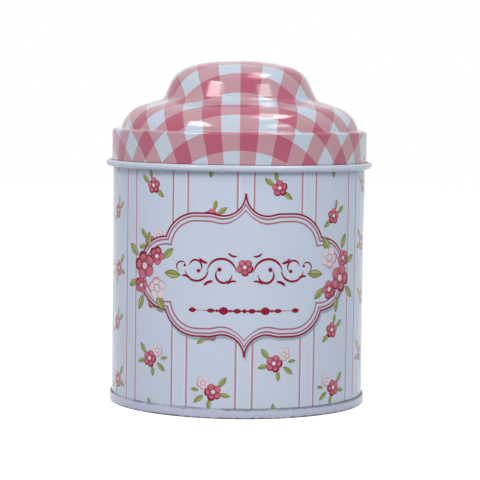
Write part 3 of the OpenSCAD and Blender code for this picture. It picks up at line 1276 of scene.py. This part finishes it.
def white_enamel(metal, name, tint, seam=0.0):
    """A white coat. Where a seam height in millimetres is given, the seam is rounded and
    streaked, grimy with painted shade at its top, and chipped to bare metal along its lower
    edge, which is also painted dark there as contact shadow."""
    material, graph, inputs = new_material(name)
    place = graph.object_place()
    brushed = graph.rise(graph.stretched(place, *ENAMEL_LINES), 0.3, 0.75)
    coat = graph.mix(brushed, mixed(tint, ENAMEL_LINE_TONE, 0.12), tint)
    roughness, relief = varnished(graph, *ENAMEL_FINISH)
    if seam:
        height = graph.height()
        # Grime and painted shade in the hollow at the seam's top.
        crease = grimed_and_shaded(graph, seam - height, *SEAM_CREASE_GRIME_AND_SHADE)
        coat = graph.mix(crease, coat, metal.steel_and_shade)
        streak = graph.rise(graph.stretched(place, *SEAM_STREAKS), 0.56, 0.7)
        scuff = streak * graph.rise(graph.noise(place, *SEAM_SPECKS), 0.42, 0.6)
        coat = graph.mix(scuff * SEAM_SCUFF, coat, mixed(tint, metal.steel_and_shade, 0.6))
        # Chips to bare metal along the lower edge, darkened all along as painted contact shadow.
        chip_and_contact_shade = grimed_and_shaded(graph, height + SEAM_CHIP_AND_SHADE_HEIGHT, *SEAM_CHIPS_AND_CONTACT_SHADE)
        coat = graph.mix(chip_and_contact_shade, coat, metal.steel_and_shade)
        level = graph.between(graph.rise(height, 0.0, seam), -1.0, 1.0)
        relief = relief + (1 - level * level) * SEAM_BULGE
    surface(graph, inputs, coat, roughness, relief)
    return material


TIN_DULL_TONE = (0.3, 0.31, 0.33)
TIN_BLOOM = (90.0, 3.0, 0.6)
MILL_LINES = ((60, 4200, 1), 4.0, 0.65)
MILL_LINE_HEIGHT = 0.004 * MM


def bare_tinplate(metal):
    """Bright tin with the fine lines of the rolling mill running along the sheet."""
    material, graph, inputs = new_material("Bare tinplate")
    sheet = graph.sheet_place()
    rolled = graph.stretched(sheet, *MILL_LINES)
    bloom = graph.noise(sheet, *TIN_BLOOM)
    lines = graph.rise(rolled, 0.25, 0.75)
    bright = lines * 0.6 + graph.rise(bloom, 0.3, 0.7) * 0.4
    tone = graph.mix(bright, mixed(metal.tin, TIN_DULL_TONE, 0.45), metal.tin)
    roughness = graph.between(lines, 0.2, 0.34) + graph.rise(bloom, 0.4, 0.8) * 0.08
    surface(graph, inputs, tone, roughness, rolled, MILL_LINE_HEIGHT)
    inputs["Metallic"].default_value = 0.8
    return material


# ---------------------------------------------------------------- stage


class CaddyStage(bpy.types.PropertyGroup):
    """The camera and the lights."""

    camera_distance: length("Camera distance", "From the caddy's axis", 681.5, 100, 5000)
    camera_height: length("Camera height", "Above the table", 108, 0, 5000)
    camera_side: bpy.props.FloatProperty(
        name="Camera side",
        description="How far the camera stands round to the caddy's left",
        default=radians(3.1),
        subtype="ANGLE",
        unit="ROTATION",
    )
    camera_lens: bpy.props.FloatProperty(
        name="Lens",
        description="Focal length of the camera, in millimetres on a 36 mm sensor",
        default=149.15,
        min=10,
    )
    daylight_low: strength("Low daylight", "Light from the horizon", 0.3)
    daylight_high: strength("High daylight", "Light from overhead", 0.62)
    room: strength("Room", "Brightness of the room on the camera's side in reflections", 0.3)


CAMERA_PITCH = radians(4.4517)
CAMERA_ROLL = 0.01343
CAMERA_HEADING = radians(0.049)
LAMP_DISTANCE = 0.9
LAMP_AIM = (0, 0, 0.09)
WARM = (1.0, 0.985, 0.955)
GLARE = (1.0, 0.98, 0.9)
SOFT = (1.0, 0.985, 0.895)
SKY = (0.78, 0.96, 1.0)
DAYLIGHT = (0.77, 0.87, 1.0, 1)
FLOOR_SIZE = 1.5
FLOOR_GREY = (0.5, 0.5, 0.5)
FLOOR_GLOW = 0.84
SENSOR_WIDTH = 36


def kinds_of_ray(graph):
    """One where a ray comes from the camera, and where from a glossy or a clear face."""
    path = graph.node("ShaderNodeLightPath").outputs
    glossy = Field(graph, path["Is Glossy Ray"])
    clear = Field(graph, path["Is Transmission Ray"])
    return Field(graph, path["Is Camera Ray"]), graph.most(glossy, clear)


def build_world(stage):
    """White to the camera, with bluish light that is stronger from overhead. In reflections it
    is white behind the caddy and greyer in front of it."""
    world = bpy.data.worlds.new("Studio")
    world.use_nodes = True
    graph = Graph(world.node_tree)
    light = world.node_tree.nodes["Background"]
    direction = Field(graph, graph.node("ShaderNodeTexCoord").outputs["Generated"])
    _, depth, height = graph.parts(direction)
    overhead = graph.rise(height, 0.0, 1.0)
    daylight = graph.between(overhead, stage.daylight_low, stage.daylight_high)
    graph.feed(light.inputs["Strength"], daylight)
    light.inputs["Color"].default_value = DAYLIGHT
    seen = graph.node("ShaderNodeBackground")
    seen.inputs["Color"].default_value = (1, 1, 1, 1)
    camera, mirrored = kinds_of_ray(graph)
    room = graph.between(graph.rise(depth, -0.9, 0.0), stage.room, 1.0)
    graph.feed(seen.inputs["Strength"], graph.most(camera, room))
    mix = graph.node("ShaderNodeMixShader")
    graph.feed(mix.inputs[0], graph.most(camera, mirrored))
    links = world.node_tree.links
    links.new(light.outputs[0], mix.inputs[1])
    links.new(seen.outputs[0], mix.inputs[2])
    links.new(mix.outputs[0], world.node_tree.nodes["World Output"].inputs["Surface"])
    bpy.context.scene.world = world


def build_floor():
    """A matt table that looks white to the camera and in reflections and takes the shadow."""
    material, graph, inputs = new_material("White table")
    graph.feed(inputs["Base Color"], FLOOR_GREY)
    inputs["Roughness"].default_value = 0.9
    inputs["Specular IOR Level"].default_value = 0.0
    glow = graph.node("ShaderNodeEmission")
    camera, mirrored = kinds_of_ray(graph)
    graph.feed(glow.inputs["Strength"], graph.most(camera, mirrored) * FLOOR_GLOW)
    both = graph.node("ShaderNodeAddShader")
    tree = material.node_tree
    tree.links.new(tree.nodes["Principled BSDF"].outputs[0], both.inputs[0])
    tree.links.new(glow.outputs[0], both.inputs[1])
    tree.links.new(both.outputs[0], tree.nodes["Material Output"].inputs["Surface"])
    bm = bmesh.new()
    bmesh.ops.create_grid(bm, x_segments=1, y_segments=1, size=FLOOR_SIZE)
    floor = meshed(bm, "floor", [material])


# Azimuth, elevation, width and height in degrees, radiance, tint, and what the lamp is for.
LAMPS = {
    "left_window": (-46, 41.3, 22, 6.6, 12, GLARE, "seen"),
    "left_pane": (-51, 47.7, 16, 4.6, 22, GLARE, "seen"),
    "right_window": (44, 41.5, 19, 8, 8.3, GLARE, "seen"),
    "top_window": (80, 73, 26, 16, 5.6, GLARE, "seen"),
    "top_pane": (90, 67, 18, 8, 11, GLARE, "seen"),
    "left_key": (-50, 43, 20, 20, 5.9, WARM, "lights"),
    "front_fill": (9, 33, 36, 20, 6.3, SOFT, "lights"),
    "right_fill": (70, 6, 18, 24, 0.9, SKY, "lights"),
    "back_fill": (175, 14, 40, 22, 2.4, SOFT, "lights"),
}


def add_lamp(name, azimuth, elevation, wide, tall, radiance, tint, use, camera_side):
    """A soft box: azimuth from the camera to its right, elevation and its two widths in degrees.
    One that is seen makes the highlights, and one that lights gives the soft light."""
    bearing = radians(azimuth) - camera_side
    rise = radians(elevation)
    away = Vector((sin(bearing) * cos(rise), -cos(bearing) * cos(rise), sin(rise)))
    data = bpy.data.lights.new(name, "AREA")
    data.shape = "RECTANGLE"
    data.size = 2 * LAMP_DISTANCE * tan(radians(wide) / 2)
    data.size_y = 2 * LAMP_DISTANCE * tan(radians(tall) / 2)
    data.energy = radiance * pi * data.size * data.size_y
    data.color = tint
    lamp = placed(name, data)
    lamp.visible_diffuse = use == "lights"
    lamp.visible_glossy = use == "seen"
    lamp.location = Vector(LAMP_AIM) + away * LAMP_DISTANCE
    lamp.rotation_euler = away.to_track_quat("Z", "Y").to_euler()


def build_camera(stage):
    data = bpy.data.cameras.new("camera")
    data.lens = stage.camera_lens
    data.sensor_width = SENSOR_WIDTH
    data.sensor_fit = "HORIZONTAL"
    camera = placed("camera", data)
    side = stage.camera_side
    away = Vector((-sin(side), -cos(side), 0)) * stage.camera_distance
    camera.matrix_world = (
        Matrix.Translation(away + Vector((0, 0, stage.camera_height)))
        @ Matrix.Rotation(-(side + CAMERA_HEADING), 4, "Z")
        @ Matrix.Rotation(pi / 2 - CAMERA_PITCH, 4, "X")
        @ Matrix.Rotation(CAMERA_ROLL, 4, "Z")
    )
    bpy.context.scene.camera = camera


# ---------------------------------------------------------------- operators


class TEACADDY_OT_stage(bpy.types.Operator):
    """Add the table, the lights and the camera"""

    bl_idname = "tea_caddy.stage"
    bl_label = "Stage"

    def execute(self, context):
        stage = context.scene.caddy_stage
        build_world(stage)
        build_floor()
        for name, values in LAMPS.items():
            add_lamp(name, *values, stage.camera_side)
        build_camera(stage)
        context.scene.view_settings.view_transform = "Standard"
        return {"FINISHED"}


def print_trees(ink):
    """The node groups that the wall's print is made of."""
    return {
        "leaf": printed_leaf(ink),
        "blossom": printed_blossom(ink),
        "stroke": printed_stroke(ink),
        "depth": label_depth(),
    }


def shared_tinplate(metal):
    return bpy.data.materials.get("Bare tinplate") or bare_tinplate(metal)


class TEACADDY_OT_wall(bpy.types.Operator):
    """Form the wall and print it"""

    bl_idname = "tea_caddy.wall"
    bl_label = "Wall"

    def execute(self, context):
        scene = context.scene
        ink = scene.caddy_print
        can = scene.caddy_can
        outside = printed_wall(ink, print_trees(ink), can.seam_height)
        build_wall(can, [outside, shared_tinplate(scene.caddy_metal)])
        return {"FINISHED"}


class TEACADDY_OT_base(bpy.types.Operator):
    """Press the base and seam it to the wall"""

    bl_idname = "tea_caddy.base"
    bl_label = "Base"

    def execute(self, context):
        scene = context.scene
        metal = scene.caddy_metal
        seam = scene.caddy_can.seam_height / MM
        enamel = white_enamel(metal, "Base enamel", metal.base_enamel, seam)
        build_base(scene.caddy_can, [enamel, shared_tinplate(metal)])
        return {"FINISHED"}


class TEACADDY_OT_inner_lid(bpy.types.Operator):
    """Press the inner lid"""

    bl_idname = "tea_caddy.inner_lid"
    bl_label = "Inner lid"

    def execute(self, context):
        scene = context.scene
        build_inner_lid(scene.caddy_can, scene.caddy_lids, [shared_tinplate(scene.caddy_metal)])
        return {"FINISHED"}


class TEACADDY_OT_dome_lid(bpy.types.Operator):
    """Draw the dome lid and print it"""

    bl_idname = "tea_caddy.dome_lid"
    bl_label = "Dome lid"

    def execute(self, context):
        scene = context.scene
        can = scene.caddy_can
        lids = scene.caddy_lids
        metal = scene.caddy_metal
        foot = ledge_level(can, lids) - lids.skirt_height + lids.skirt_curl
        outside = printed_lid(scene.caddy_print, foot)
        reverse = white_enamel(metal, "Lid enamel", metal.enamel)
        build_dome_lid(can, lids, [outside, reverse])
        return {"FINISHED"}


class TEACADDY_PT_panel(bpy.types.Panel):
    """Lists the caddy's pieces and settings"""

    bl_label = "Tea Caddy"
    bl_idname = "TEACADDY_PT_panel"
    bl_space_type = "VIEW_3D"
    bl_region_type = "UI"
    bl_category = "Tea Caddy"

    def draw(self, context):
        for operator in OPERATORS:
            self.layout.operator(operator.bl_idname)
        for name, group in SETTINGS.items():
            box = self.layout.box()
            box.label(text=group.__doc__)
            for setting in group.__annotations__:
                box.prop(getattr(context.scene, name), setting)


SETTINGS = {
    "caddy_can": CaddyCanSizes,
    "caddy_lids": CaddyLidSizes,
    "caddy_print": CaddyPrint,
    "caddy_metal": CaddyMetal,
    "caddy_stage": CaddyStage,
}
OPERATORS = (
    TEACADDY_OT_stage,
    TEACADDY_OT_wall,
    TEACADDY_OT_base,
    TEACADDY_OT_inner_lid,
    TEACADDY_OT_dome_lid,
)


def register():
    for name, group in SETTINGS.items():
        bpy.utils.register_class(group)
        setattr(bpy.types.Scene, name, bpy.props.PointerProperty(type=group))
    for operator in OPERATORS:
        bpy.utils.register_class(operator)
    bpy.utils.register_class(TEACADDY_PT_panel)


def unregister():
    bpy.utils.unregister_class(TEACADDY_PT_panel)
    for operator in reversed(OPERATORS):
        bpy.utils.unregister_class(operator)
    for name, group in reversed(SETTINGS.items()):
        delattr(bpy.types.Scene, name)
        bpy.utils.unregister_class(group)


def main():
    register()
    bpy.ops.tea_caddy.stage()
    bpy.ops.tea_caddy.wall()
    bpy.ops.tea_caddy.base()
    bpy.ops.tea_caddy.inner_lid()
    bpy.ops.tea_caddy.dome_lid()


if __name__ == "__main__":
    main()
